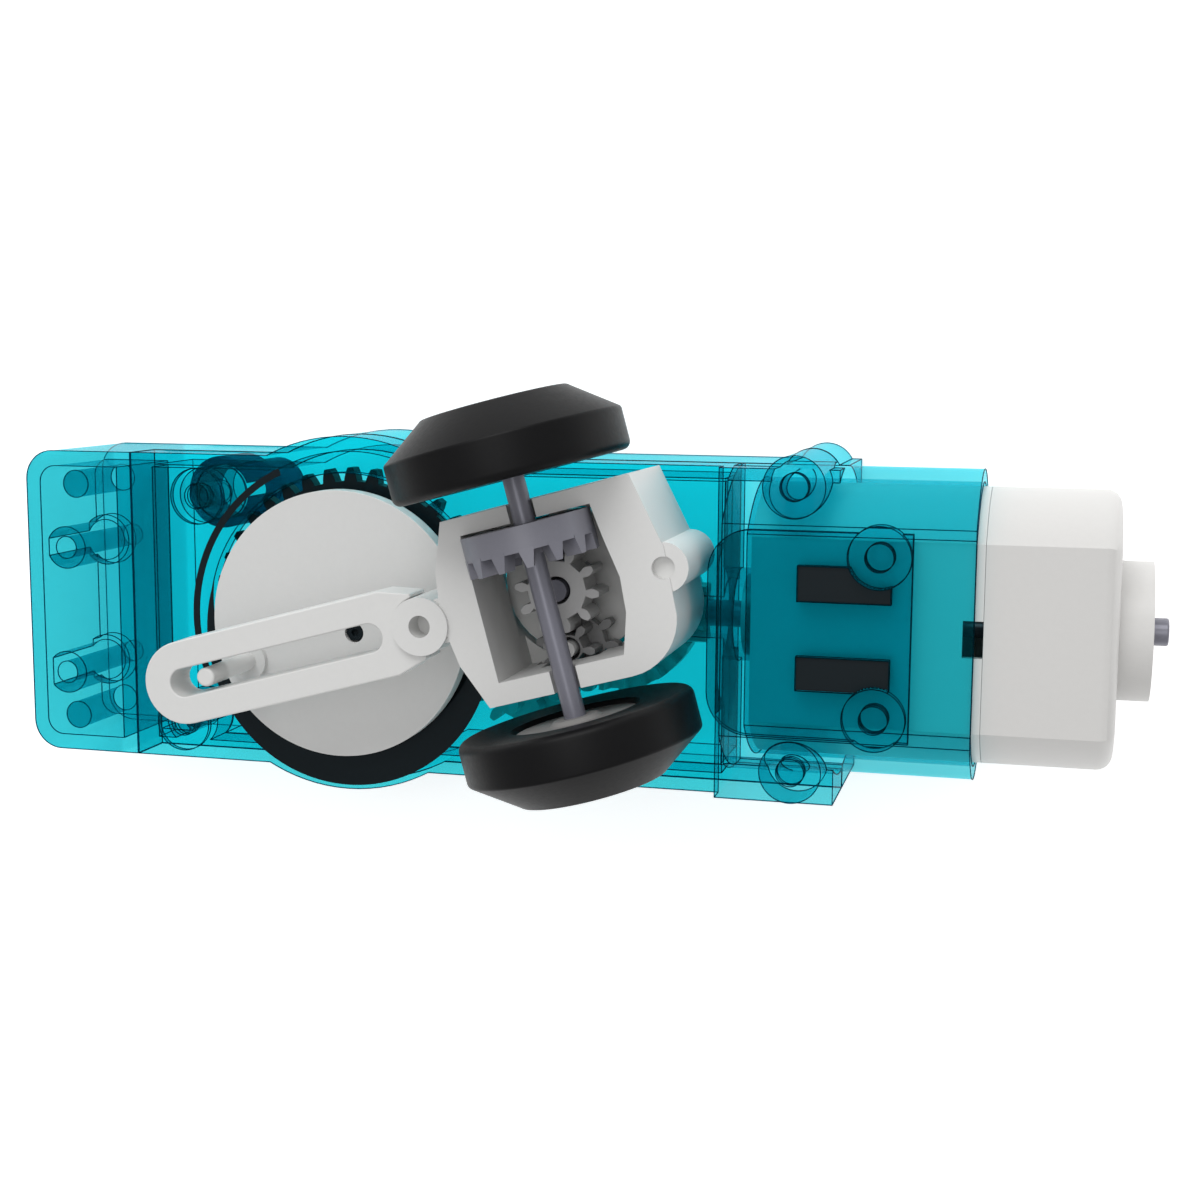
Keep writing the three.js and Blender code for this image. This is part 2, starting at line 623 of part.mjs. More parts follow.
const facePin = cylZ(FACE_GEAR.x, FACE_GEAR.y, 0.75, 0.55, 9.0, 20);
const idlerPin = cylZ(IDLER.x, IDLER.y, 0.75, 0.55, 11.6, 20);
const crankShaft = cylZ(CRANK.x, CRANK.y, 1.5, 0.55, 12.9, 24);

place('case_back', caseBack(), 'clear');
place('case_front', caseFront(), 'clear');
place('motor_pad_a', motorPad(...WINDOWS[0]), 'black');
place('motor_pad_b', motorPad(...WINDOWS[1]), 'black');
place('motor_can', motorCan(), 'can');
place('motor_end_bell', motorEndBell(), 'motor');
place('motor_magnet_a', motorMagnet(1), 'magnet');
place('motor_magnet_b', motorMagnet(-1), 'magnet');
place('motor_shaft', motorShaft(), 'steel');
place('motor_rotor', motorRotor(), 'copper');
place('motor_pinion', motorPinion(), 'pale');
place('face_gear_pin', facePin, 'steel');
place('face_gear', faceGear(), 'white');
place('idler_pin', idlerPin, 'steel');
place('idler_gear', idlerGear(), 'pale');
place('crank_shaft', crankShaft, 'steel');
place('crank_gear', crankGear(), 'black');
place('crank_disc', crankDisc(), 'white');
place('crank_pin', crankPin(), 'white');
place('steer_gear', steerGear(), 'pale');
place('drive_shaft', driveShaft(), 'steel');
place('drive_pinion', drivePinion(), 'steel');
place('pivot_ring', pivotRing(), 'white');
place('yoke_cage', toYoke(yokeCage()), 'white');
place('yoke_arm', toYoke(yokeArm()), 'white');
place('back_gear', backGear(), 'dark');
place('light_gear', lightGear(), 'pale');
place('crown_gear', crownGear(), 'violet');
place('axle', axle(), 'steel');
place('hub_a', hub(1), 'dark');
place('hub_b', hub(-1), 'dark');
place('tyre_a', tyre(1), 'rubber');
place('tyre_b', tyre(-1), 'rubber');

export default group;
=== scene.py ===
import math

import bmesh
import bpy
from mathutils import Matrix, Vector


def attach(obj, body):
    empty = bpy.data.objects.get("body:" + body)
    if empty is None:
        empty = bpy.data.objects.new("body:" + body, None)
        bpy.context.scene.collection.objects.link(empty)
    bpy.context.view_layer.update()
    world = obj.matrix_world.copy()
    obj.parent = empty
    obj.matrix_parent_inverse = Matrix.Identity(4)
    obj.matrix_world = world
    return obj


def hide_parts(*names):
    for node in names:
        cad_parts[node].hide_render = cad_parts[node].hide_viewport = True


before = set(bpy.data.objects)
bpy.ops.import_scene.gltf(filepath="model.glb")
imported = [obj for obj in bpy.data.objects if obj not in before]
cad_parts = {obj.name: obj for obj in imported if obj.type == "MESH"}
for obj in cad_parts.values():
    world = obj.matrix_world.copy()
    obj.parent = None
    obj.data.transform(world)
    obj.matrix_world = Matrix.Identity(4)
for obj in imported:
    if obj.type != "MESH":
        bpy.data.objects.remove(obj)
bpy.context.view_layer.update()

# ---- sizes in millimetres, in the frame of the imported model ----
MM = 0.001
MOTOR_Z = 8.6
MOTOR_R = 10.05
MOTOR_FLAT = 7.55
MOTOR_X0 = 13.8
CAN_X1 = 30.0
MOTOR_X1 = 39.05
BOSS_X1 = 41.4
SHAFT_R = 1.0
SHAFT_X0 = 6.95
SHAFT_X1 = 42.6

CASE_X0 = -46.0
CASE_Y0 = -13.0
CASE_Y1 = 11.3
TRAY_X1 = -38.0
TRAY_FLOOR = 3.4
WALL = 1.2
FAR = 60
SPLIT_Z = 8.0
PLATE_Z = 12.0
EAR_X0 = 12.0
EAR_X1 = 19.6
EAR_Z = 13.6
COVER_X0 = 11.0
COVER_X1 = 25.2
COVER_Z = 17.8
COVER_SEAT_Z = 17.2
PANEL_HALF = 7.3
PANEL_CORNER = 3
SLEEVE_X0 = 11.8
SLEEVE_X1 = 29.4
SLEEVE_R = 11.3
SLEEVE_FLAT = 8.35
SLEEVE_GAP = 0.25
MOTOR_GAP = 0.3
BULGE = (-18.6, -0.9, 13.8)

CRANK = (-18.6, -1.4)
CRANK_R = 8.0
WELL_R = 11.5
DISC_R = 10.3
DISC_Z0 = 12.3
DISC_Z1 = 13.8
DIMPLE = (CRANK[0] + 1.35, CRANK[1] - 0.6)
DIMPLE_R = 0.75
DIMPLE_Z = 13.0
CRANK_SHAFT_R = 1.5
PIN_R = 0.7
STEER = (0.2, 2.6)
YOKE_ANGLE = math.radians(15.3)
YOKE_TOP = 22.0
YOKE_BASE = 12.4
FLOOR_TOP = 13.6
SLOT_HALF = 1.05
ARM_HALF = 3.1
ARM_END = -31.9
ARM_Z = 18.6
SLOT_END = -13.6
RING_X = -9.4
PEG_X = 8.8
AXLE_NOTCH = 0.98
IDLER = (-4.65, -4.98)
FACE = (1.354, 0.0)
IDLE_PIN_R = 0.75
IDLE_HOLE_R = 0.95
BACK_DIST = 4.4
BOX_MODULE = 0.6
CAGE_MODULE = 0.55
PINION_TEETH = 10
FACE_TEETH = 26
FACE_MODULE = 0.5
IDLER_TEETH = 16
STEER_TEETH = 20
CRANK_TEETH = 38
LIGHT_TEETH = 10
BACK_TEETH = 6
CROWN_TEETH = 14
LOWER_Z0 = 7.5
LOWER_Z1 = 9.0
UPPER_Z0 = 9.2
UPPER_Z1 = 10.5
AXLE_Z = 21.8
AXLE_R = 0.78
WHEEL_R = 8.5
WHEEL_IN = 8.5
WHEEL_OUT = 11.6
WHEEL_END = 13.9
WHEEL_END_R = 5.5
HUB_R = 4.4

EAR_BOSS_Z = 17.4
BOSS_R = 2.2
BOSS_HOLE_R = 1.0
PEG_R = 0.75
BOSSES = [(-30.9, 8.0, PLATE_Z + 0.4), (16.9, 10.3, EAR_BOSS_Z), (17.0, -9.9, EAR_BOSS_Z),
          (-32.5, -10.2, PLATE_Z + 0.4)]
COVER_BOSSES = [(23.0, 5.7), (22.85, -5.6)]
WINDOWS = [(2.4, 4.9), (-3.9, -1.5)]
WINDOW_X0 = 17.3
WINDOW_X1 = 23.8
WINDOW_Z = 16.98
TUBE_R = 1.7
TUBE_HOLE_R = 0.9
TUBE_FOOT_R = 2.1
POST_R = 1.1
TUBE_TOP = 11
LUG = (BOSSES[0][0], BOSSES[0][1])
LUG_SIDE = (-28.0, 8.3)
LUG_Z0 = 3.2
LUG_Z1 = 7.8
PIN_SEATS = [(FACE, IDLE_PIN_R), (IDLER, IDLE_PIN_R), (CRANK, CRANK_SHAFT_R)]
TUBES = [(-43.25, 3.4), (-43.5, -6.85)]
POSTS = [(-42.2, 8.6), (-42.6, -10.35)]

YOKE = Matrix.Translation((STEER[0] * MM, STEER[1] * MM, 0)) @ Matrix.Rotation(YOKE_ANGLE, 4, "Z")


# ---- camera, light and floor ----
def make_camera():
    place = Vector((35.4, 20.2, 143.4)) * MM
    aim = Vector((1.2, 0.8, 10.0)) * MM
    back = (place - aim).normalized()
    side = Vector((-0.0066, 1, 0)).cross(back).normalized()
    up = back.cross(side)
    data = bpy.data.cameras.new("camera")
    data.lens = 55
    data.sensor_width = 36
    data.clip_start = 0.001
    data.clip_end = 20
    cam = bpy.data.objects.new("camera", data)
    cam.matrix_world = Matrix((side, up, back)).transposed().to_4x4()
    cam.location = place
    bpy.context.scene.collection.objects.link(cam)
    bpy.context.scene.camera = cam


def area_light(name, place, aim, size, power):
    data = bpy.data.lights.new(name, "AREA")
    data.size = size
    data.energy = power
    lamp = bpy.data.objects.new(name, data)
    lamp.location = place
    lamp.rotation_euler = (Vector(aim) - Vector(place)).to_track_quat("-Z", "Y").to_euler()
    bpy.context.scene.collection.objects.link(lamp)


def make_light():
    world = bpy.data.worlds.new("world")
    bpy.context.scene.world = world
    world.use_nodes = True
    world.node_tree.nodes["Background"].inputs["Color"].default_value = (1, 1, 1, 1)
    world.node_tree.nodes["Background"].inputs["Strength"].default_value = 0.53
    area_light("key", (-0.05, 0.45, 0.38), (0, 0, 0), 0.35, 1.6)
    area_light("fill", (0.04, 0.06, 0.5), (0, 0, 0), 0.25, 0.35)
    bpy.context.scene.view_settings.view_transform = "Standard"


def make_floor():
    bm = bmesh.new()
    bmesh.ops.create_grid(bm, x_segments=1, y_segments=1, size=6)
    mesh = bpy.data.meshes.new("floor")
    bm.to_mesh(mesh)
    floor = bpy.data.objects.new("floor", mesh)
    floor.location.z = -0.00002
    bpy.context.scene.collection.objects.link(floor)
    paint = plain("floor", (0.97, 0.97, 0.97), 0.95, 0, 0, 40.0, 0.01)
    glow = paint.node_tree.nodes["Principled BSDF"]
    glow.inputs["Emission Color"].default_value = (1, 1, 1, 1)
    glow.inputs["Emission Strength"].default_value = 0.5
    floor.data.materials.append(paint)


# ---- materials ----
def new_material(name):
    mat = bpy.data.materials.new(name)
    mat.use_nodes = True
    tree = mat.node_tree
    return mat, tree, tree.nodes["Principled BSDF"]


def plain(name, colour, rough, metal, bump, scale=4000.0, spread=0.12, specular=0.5):
    """Moulded or machined surface: mottled colour and roughness with a fine bump."""
    mat, tree, shader = new_material(name)
    shader.inputs["Metallic"].default_value = metal
    shader.inputs["Specular IOR Level"].default_value = specular
    noise = tree.nodes.new("ShaderNodeTexNoise")
    place = tree.nodes.new("ShaderNodeTexCoord")
    tree.links.new(place.outputs["Object"], noise.inputs["Vector"])
    noise.inputs["Scale"].default_value = scale
    noise.inputs["Detail"].default_value = 3
    ramp = tree.nodes.new("ShaderNodeValToRGB")
    low = [c * (1 - spread) for c in colour]
    high = [min(1, c * (1 + spread)) for c in colour]
    ramp.color_ramp.elements[0].color = (*low, 1)
    ramp.color_ramp.elements[1].color = (*high, 1)
    tree.links.new(noise.outputs["Fac"], ramp.inputs["Fac"])
    tree.links.new(ramp.outputs["Color"], shader.inputs["Base Color"])
    level = tree.nodes.new("ShaderNodeMapRange")
    level.inputs["To Min"].default_value = max(0.02, rough - 0.08)
    level.inputs["To Max"].default_value = min(1, rough + 0.08)
    tree.links.new(noise.outputs["Fac"], level.inputs["Value"])
    tree.links.new(level.outputs["Result"], shader.inputs["Roughness"])
    if bump:
        relief = tree.nodes.new("ShaderNodeBump")
        relief.inputs["Strength"].default_value = bump
        relief.inputs["Distance"].default_value = 0.00002
        tree.links.new(noise.outputs["Fac"], relief.inputs["Height"])
        tree.links.new(relief.outputs["Normal"], shader.inputs["Normal"])
    return mat


def clear_plastic(name, stops, grazing_shade, shine, most):
    """Tinted see-through plastic. The tint of each surface changes along the case, given as stops
    of X in mm and colour, and moves towards the third colour at grazing angles: painted shade for
    the dark lines that bent light draws at edges and side walls. shine and most are the least
    and the greatest share of gloss."""
    mat, tree, shader = new_material(name)
    shader.inputs["Base Color"].default_value = (0.0, 0.35, 0.46, 1)
    shader.inputs["Roughness"].default_value = 0.08
    place = tree.nodes.new("ShaderNodeTexCoord")
    split = tree.nodes.new("ShaderNodeSeparateXYZ")
    tree.links.new(place.outputs["Object"], split.inputs["Vector"])
    along = tree.nodes.new("ShaderNodeMapRange")
    along.inputs["From Min"].default_value = CASE_X0 * MM
    along.inputs["From Max"].default_value = SLEEVE_X1 * MM
    tree.links.new(split.outputs["X"], along.inputs["Value"])
    ramp = tree.nodes.new("ShaderNodeValToRGB")
    while len(ramp.color_ramp.elements) < len(stops):
        ramp.color_ramp.elements.new(0.5)
    for element, (x, colour) in zip(ramp.color_ramp.elements, stops):
        element.position = (x - CASE_X0) / (SLEEVE_X1 - CASE_X0)
        element.color = (*colour, 1)
    tree.links.new(along.outputs["Result"], ramp.inputs["Fac"])
    # Tint deepens as the surface turns away from the camera: painted shade for the dark edges of bent light.
    weight = tree.nodes.new("ShaderNodeLayerWeight")
    weight.inputs["Blend"].default_value = 0.4
    slant = tree.nodes.new("ShaderNodeMapRange")
    slant.inputs["From Min"].default_value = 0.55
    slant.inputs["To Max"].default_value = 0.6
    tree.links.new(weight.outputs["Facing"], slant.inputs["Value"])
    tint = tree.nodes.new("ShaderNodeMixRGB")
    tint.inputs["Color2"].default_value = (*grazing_shade, 1)
    tree.links.new(slant.outputs["Result"], tint.inputs["Fac"])
    tree.links.new(ramp.outputs["Color"], tint.inputs["Color1"])
    through = tree.nodes.new("ShaderNodeBsdfTransparent")
    tree.links.new(tint.outputs["Color"], through.inputs["Color"])
    level = tree.nodes.new("ShaderNodeMapRange")
    level.inputs["To Min"].default_value = shine
    level.inputs["To Max"].default_value = most
    tree.links.new(weight.outputs["Fresnel"], level.inputs["Value"])
    mix = tree.nodes.new("ShaderNodeMixShader")
    tree.links.new(level.outputs["Result"], mix.inputs["Fac"])
    tree.links.new(through.outputs["BSDF"], mix.inputs[1])
    tree.links.new(shader.outputs["BSDF"], mix.inputs[2])
    tree.links.new(mix.outputs["Shader"], tree.nodes["Material Output"].inputs["Surface"])
    return mat


# ---- solids ----
def to_object(bm, name="solid"):
    bmesh.ops.recalc_face_normals(bm, faces=bm.faces)
    mesh = bpy.data.meshes.new(name)
    bm.to_mesh(mesh)
    bm.free()
    obj = bpy.data.objects.new(name, mesh)
    bpy.context.scene.collection.objects.link(obj)
    return obj


def loft(rings):
    """Closed solid through outlines of equal point count, each (points, z)."""
    bm = bmesh.new()
    loops = [[bm.verts.new((x * MM, y * MM, z * MM)) for x, y in points] for points, z in rings]
    bm.faces.new(loops[0])
    bm.faces.new(loops[-1])
    n = len(loops[0])
    for low, high in zip(loops, loops[1:]):
        for i in range(n):
            bm.faces.new((low[i], low[(i + 1) % n], high[(i + 1) % n], high[i]))
    return to_object(bm)


def prism(points, z0, z1):
    return loft([(points, z0), (points, z1)])


def lathe(profile, steps=96):
    """Closed (radius, height) outline turned about the Z axis; points at radius 0 lie on it."""
    bm = bmesh.new()
    rings = []
    for r, z in profile:
        if r == 0:
            rings.append([bm.verts.new((0, 0, z * MM))] * steps)
            continue
        turn = [2 * math.pi * k / steps for k in range(steps)]
        rings.append([bm.verts.new((r * MM * math.cos(a), r * MM * math.sin(a), z * MM)) for a in turn])
    for i, ring in enumerate(rings):
        after = rings[(i + 1) % len(rings)]
        for k in range(steps):
            corners = [ring[k], ring[(k + 1) % steps], after[(k + 1) % steps], after[k]]
            unique = list(dict.fromkeys(corners))
            if len(unique) > 2:
                bm.faces.new(unique)
    return to_object(bm)


def arc(cx, cy, r, a0, a1, steps):
    angles = [math.radians(a0 + (a1 - a0) * i / steps) for i in range(steps + 1)]
    return [(cx + r * math.cos(a), cy + r * math.sin(a)) for a in angles]


def cyl(x, y, r, z0, z1, steps=64):
    return prism(arc(x, y, r, 0, 360 - 360 / steps, steps - 1), z0, z1)


def block(x0, x1, y0, y1, z0, z1):
    return prism([(x0, y0), (x1, y0), (x1, y1), (x0, y1)], z0, z1)


def moved(obj, matrix):
    obj.data.transform(matrix)
    if matrix.determinant() < 0:
        obj.data.flip_normals()
    return obj


def combine(base, steps):
    """Boolean steps on base: (operation, tool) pairs. The tools are used up."""
    for operation, tool in steps:
        mod = base.modifiers.new("csg", "BOOLEAN")
        mod.operation = operation
        mod.solver = "EXACT"
        mod.object = tool
    graph = bpy.context.evaluated_depsgraph_get()
    mesh = bpy.data.meshes.new_from_object(base.evaluated_get(graph))
    base.modifiers.clear()
    base.data = mesh
    for _, tool in steps:
        bpy.data.objects.remove(tool)
    return base


def join(base, *tools):
    return combine(base, [("UNION", t) for t in tools])


def carve(base, *tools):
    return combine(base, [("DIFFERENCE", t) for t in tools])


def cylx(y, z, r, x0, x1, steps=64):
    turn = Matrix.Translation((0, y * MM, z * MM)) @ Matrix.Rotation(math.radians(90), 4, "Y")
    return moved(cyl(0, 0, r, x0, x1, steps), turn)


def cyly(x, z, r, y0, y1, steps=64):
    turn = Matrix.Translation((x * MM, 0, z * MM)) @ Matrix.Rotation(math.radians(-90), 4, "X")
    return moved(cyl(0, 0, r, y0, y1, steps), turn)


def edge_lines(solid, r=0.05):
    """Thin sticks along the sharp edges of a clear solid, for the look only: they stand for the
    dark lines that bent light draws there."""
    source = bmesh.new()
    source.from_mesh(solid.data)
    out = bmesh.new()
    for edge in source.edges:
        a, b = (vert.co for vert in edge.verts)
        if edge.calc_face_angle(0) < math.radians(32) or (b - a).length < 0.02 * MM:
            continue
        side = (b - a).orthogonal().normalized() * r * MM
        up = (b - a).normalized().cross(side)
        ends = [[out.verts.new(end + way) for way in (side, up, -side, -up)] for end in (a, b)]
        for i in range(4):
            k = (i + 1) % 4
            out.faces.new((ends[0][i], ends[0][k], ends[1][k], ends[1][i]))
        out.faces.new(ends[0][::-1])
        out.faces.new(ends[1])
    source.free()
    return to_object(out)


def piece(name, obj, material, body, nodes, bevel=0.12, sharp=32, segments=2):
    """Names a finished solid, rounds its edges, and hands it to its CAD body."""
    obj.name = name
    obj.data.name = name
    obj.data.materials.clear()
    obj.data.materials.append(material)
    obj.data.polygons.foreach_set("use_smooth", [True] * len(obj.data.polygons))
    obj.data.set_sharp_from_angle(angle=math.radians(sharp))
    if bevel:
        mod = obj.modifiers.new("edges", "BEVEL")
        mod.width = bevel * MM
        mod.segments = segments
        mod.limit_method = "ANGLE"
        mod.angle_limit = math.radians(sharp)
        mod.harden_normals = True
        mod.use_clamp_overlap = True
    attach(obj, body)
    if nodes:
        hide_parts(*nodes)
    return obj


# ---- gears ----
def involute(r, base):
    a = math.acos(min(1, base / r))
    return math.tan(a) - a


def gear_points(teeth, module, phase, thick=0.42, add=0.7):
    r = teeth * module / 2
    base = r * math.cos(math.radians(20))
    tip = r + add * module
    root = r - 1.05 * module
    start = max(base, root)

    def half(radius):
        return thick * math.pi / teeth + involute(r, base) - involute(radius, base)

    radii = [start + (tip - start) * i / 4 for i in range(5)]
    foot = half(start) * (0.75 if root < base else 1.0)
    flank = [(root, foot)] + [(q, half(q)) for q in radii]
    points = []
    for k in range(teeth):
        a = phase + 2 * math.pi * k / teeth
        points += [(q * math.cos(a - h), q * math.sin(a - h)) for q, h in flank]
        points += [(q * math.cos(a + h), q * math.sin(a + h)) for q, h in reversed(flank)]
    return points


def gear(teeth, module, phase, z0, z1, thick=0.42, add=0.7):
    return prism(gear_points(teeth, module, phase, thick, add), z0, z1)


def mesh_phase(teeth_a, phase_a, towards, teeth_b):
    return towards + math.pi + (teeth_a * (towards - phase_a) - math.pi) / teeth_b


def face_teeth(teeth, module, r_in, r_out, height, z):
    pitch = math.pi * module
    foot = 0.3 * pitch
    tip = 0.13 * pitch
    bars = []
    for k in range(teeth):
        section = [(-foot, -0.2), (foot, -0.2), (foot, 0), (tip, height), (-tip, height), (-foot, 0)]
        bar = prism(section, r_in, r_out)
        turn = Matrix.Rotation(math.radians(90), 4, "Z") @ Matrix.Rotation(math.radians(90), 4, "X")
        spin = Matrix.Rotation(2 * math.pi * k / teeth, 4, "Z")
        bars.append(moved(bar, Matrix.Translation((0, 0, z * MM)) @ spin @ turn))
    return bars


def at(point):
    return Matrix.Translation((point[0] * MM, point[1] * MM, 0))


def heading(a, b):
    return math.atan2(b[1] - a[1], b[0] - a[0])


DIR_BACK = YOKE_ANGLE - math.pi / 2 - 0.12
BACK = (STEER[0] + BACK_DIST * math.cos(DIR_BACK), STEER[1] + BACK_DIST * math.sin(DIR_BACK))
LIGHT_PHASE = YOKE_ANGLE + math.pi / 2


def crank_pin_point():
    reach = math.dist(CRANK, STEER)
    off = YOKE_ANGLE - heading(CRANK, STEER)
    length = reach * math.cos(off) + math.sqrt(CRANK_R ** 2 - (reach * math.sin(off)) ** 2)
    return (STEER[0] - length * math.cos(YOKE_ANGLE), STEER[1] - length * math.sin(YOKE_ANGLE))


make_camera()
make_light()
make_floor()

WHITE = plain("white_plastic", (0.7, 0.7, 0.69), 0.42, 0, 0.15, 2500, 0.02, 0.4)
# White plastic made a little darker for the crank disc: painted shade of the disc sunk in its well.
DISC_SHADED_WHITE = plain("disc_white_painted_shade", (0.66, 0.66, 0.652), 0.42, 0, 0.15, 2500, 0.02, 0.4)
BELL = plain("bell_plastic", (0.65, 0.642, 0.628), 0.4, 0, 0.12, 2500, 0.02, 0.4)
CAN = plain("can_steel", (0.66, 0.655, 0.64), 0.34, 0.1, 0.1, 5000, 0.03)
STEEL = plain("axle_steel", (0.2, 0.2, 0.24), 0.32, 0.3, 0.1, 6000, 0.06)
VIOLET = plain("crown_plastic", (0.19, 0.19, 0.225), 0.4, 0.1, 0.1, 3000, 0.04)
PALE = plain("pale_plastic", (0.5, 0.5, 0.5), 0.45, 0, 0.1, 3000, 0.04, 0.3)
DARK = plain("dark_plastic", (0.24, 0.24, 0.242), 0.45, 0, 0.1, 3000, 0.04, 0.3)
BLACK = plain("black_plastic", (0.006, 0.011, 0.014), 0.4, 0, 0.1, 3000, 0.1, 0.12)
RUBBER = plain("rubber", (0.004, 0.004, 0.0045), 0.42, 0, 0.25, 3500, 0.15, 0.15)
HUB = plain("hub_plastic", (0.24, 0.235, 0.23), 0.5, 0, 0.1, 3000, 0.03, 0.3)
IRON = plain("dark_iron", (0.02, 0.02, 0.022), 0.6, 0.2, 0.2, 4000, 0.1)
BOX_TINT = (0.3, 0.918, 0.952)
TRAY_TINT = (0.21, 0.77, 0.82)
COVER_TINT = (0.42, 0.908, 0.946)
RIM_TINT = (0.0, 0.28, 0.37)
CLEAR_STOPS = [(CASE_X0, TRAY_TINT), (TRAY_X1 - 0.4, TRAY_TINT), (TRAY_X1 - 0.1, BOX_TINT),
               (COVER_X0 - 0.4, BOX_TINT), (COVER_X0 + 0.2, COVER_TINT)]
RIM_STOPS = [(CASE_X0, RIM_TINT), (SLEEVE_X1, RIM_TINT)]
CLEAR = clear_plastic("clear_cyan", CLEAR_STOPS, (0.12, 0.82, 0.885), 0.005, 0.3)
RIM = clear_plastic("clear_rim", RIM_STOPS, (0.0, 0.15, 0.22), 0.01, 0.3)


# ---- housing ----
def plan(inset, x_end):
    r = 2.3 - inset * 0.8
    x0 = CASE_X0 + inset
    y0 = CASE_Y0 + inset
    y1 = CASE_Y1 - inset
    low = arc(x0 + r, y0 + r, r, 180, 270, 10)
    high = arc(x0 + r, y1 - r, r, 90, 180, 10)
    return low + [(x_end, y0), (x_end, y1)] + high


def motor_outline(r, flat, steps=24):
    a = math.degrees(math.asin(flat / r))
    return arc(0, 0, r, -a, a, steps) + arc(0, 0, r, 180 - a, 180 + a, steps)


def motor_loft(r, flat, stations):
    """Flat-sided motor body along X through stations of (x, inset)."""
    turn = Matrix.Rotation(math.radians(90), 4, "Z") @ Matrix.Rotation(math.radians(90), 4, "X")
    rings = [(motor_outline(r - inset, flat - inset), x) for x, inset in stations]
    return moved(loft(rings), Matrix.Translation((0, 0, MOTOR_Z * MM)) @ turn)


def motor_prism(r, flat, x0, x1):
    return motor_loft(r, flat, [(x0, 0), (x1, 0)])


def bulge(inset, z0, z1):
    return cyl(BULGE[0], BULGE[1], BULGE[2] - inset, z0, z1, 96)


def case_back():
    top = SPLIT_Z - 0.1
    end = TRAY_X1 + WALL
    body = join(prism(plan(0, EAR_X1), 0, top), bulge(0, 0, top))
    hollow = join(prism(plan(WALL, EAR_X0 - 1.7), WALL, top + 1), bulge(WALL, WALL, top + 1))
    hollow = carve(hollow, block(-FAR, end, -FAR, FAR, -1, FAR))
    body = carve(body, hollow, block(-FAR, end, -FAR, FAR, -1, FAR))
    tray = carve(prism(plan(0, end), 0, PLATE_Z), prism(plan(WALL, TRAY_X1), TRAY_FLOOR, PLATE_Z + 1))
    parts = [tray, motor_prism(SLEEVE_R, SLEEVE_FLAT, SLEEVE_X0, SLEEVE_X1)]
    parts += [cyl(x, y, TUBE_R, TRAY_FLOOR - 0.4, TUBE_TOP, 48) for x, y in TUBES]
    parts += [cyl(x, y, TUBE_FOOT_R, TRAY_FLOOR - 0.4, TRAY_FLOOR + 1.2, 48) for x, y in TUBES]
    parts += [cyl(x, y, POST_R, TRAY_FLOOR - 0.4, TUBE_TOP, 40) for x, y in POSTS]
    parts += [cyl(x, y, BOSS_R, 0, top, 56) for x, y, _ in BOSSES]
    parts += [cyl(*p, r + 1.1, 0.6, 2.6, 48) for p, r in PIN_SEATS]
    body = join(body, *parts)
    body = join(body, *[cyl(x, y, PEG_R, top - 1, 10.4, 32) for x, y, _ in BOSSES])
    cuts = [cyl(x, y, TUBE_HOLE_R, -1, TUBE_TOP + 1, 40) for x, y in TUBES]
    cuts += [cyl(*p, r + 0.05, 0.5, 5, 40) for p, r in PIN_SEATS]
    cuts += [motor_prism(MOTOR_R + MOTOR_GAP, MOTOR_FLAT + 0.2, MOTOR_X0 - MOTOR_GAP, SLEEVE_X1 + 1)]
    cuts += [cylx(0, MOTOR_Z, 3.5, SLEEVE_X0 - 2, MOTOR_X0 + 1)]
    return carve(body, *cuts)


def cover_window(y0, y1):
    """Cutter for one window, which stops at the screw bosses of the cover."""
    opening = block(WINDOW_X0, WINDOW_X1, y0, y1, WINDOW_Z, 20)
    return carve(opening, *[cyl(x, y, BOSS_R, 16, 21) for x, y in COVER_BOSSES])


def cover_panel():
    """Outline of the raised motor cover, rounded on the side of the gears."""
    x = COVER_X0 + PANEL_CORNER
    y = PANEL_HALF - PANEL_CORNER
    near = arc(x, -y, PANEL_CORNER, 180, 270, 10)
    far = arc(x, y, PANEL_CORNER, 90, 180, 10)
    return near + [(COVER_X1, -PANEL_HALF), (COVER_X1, PANEL_HALF)] + far


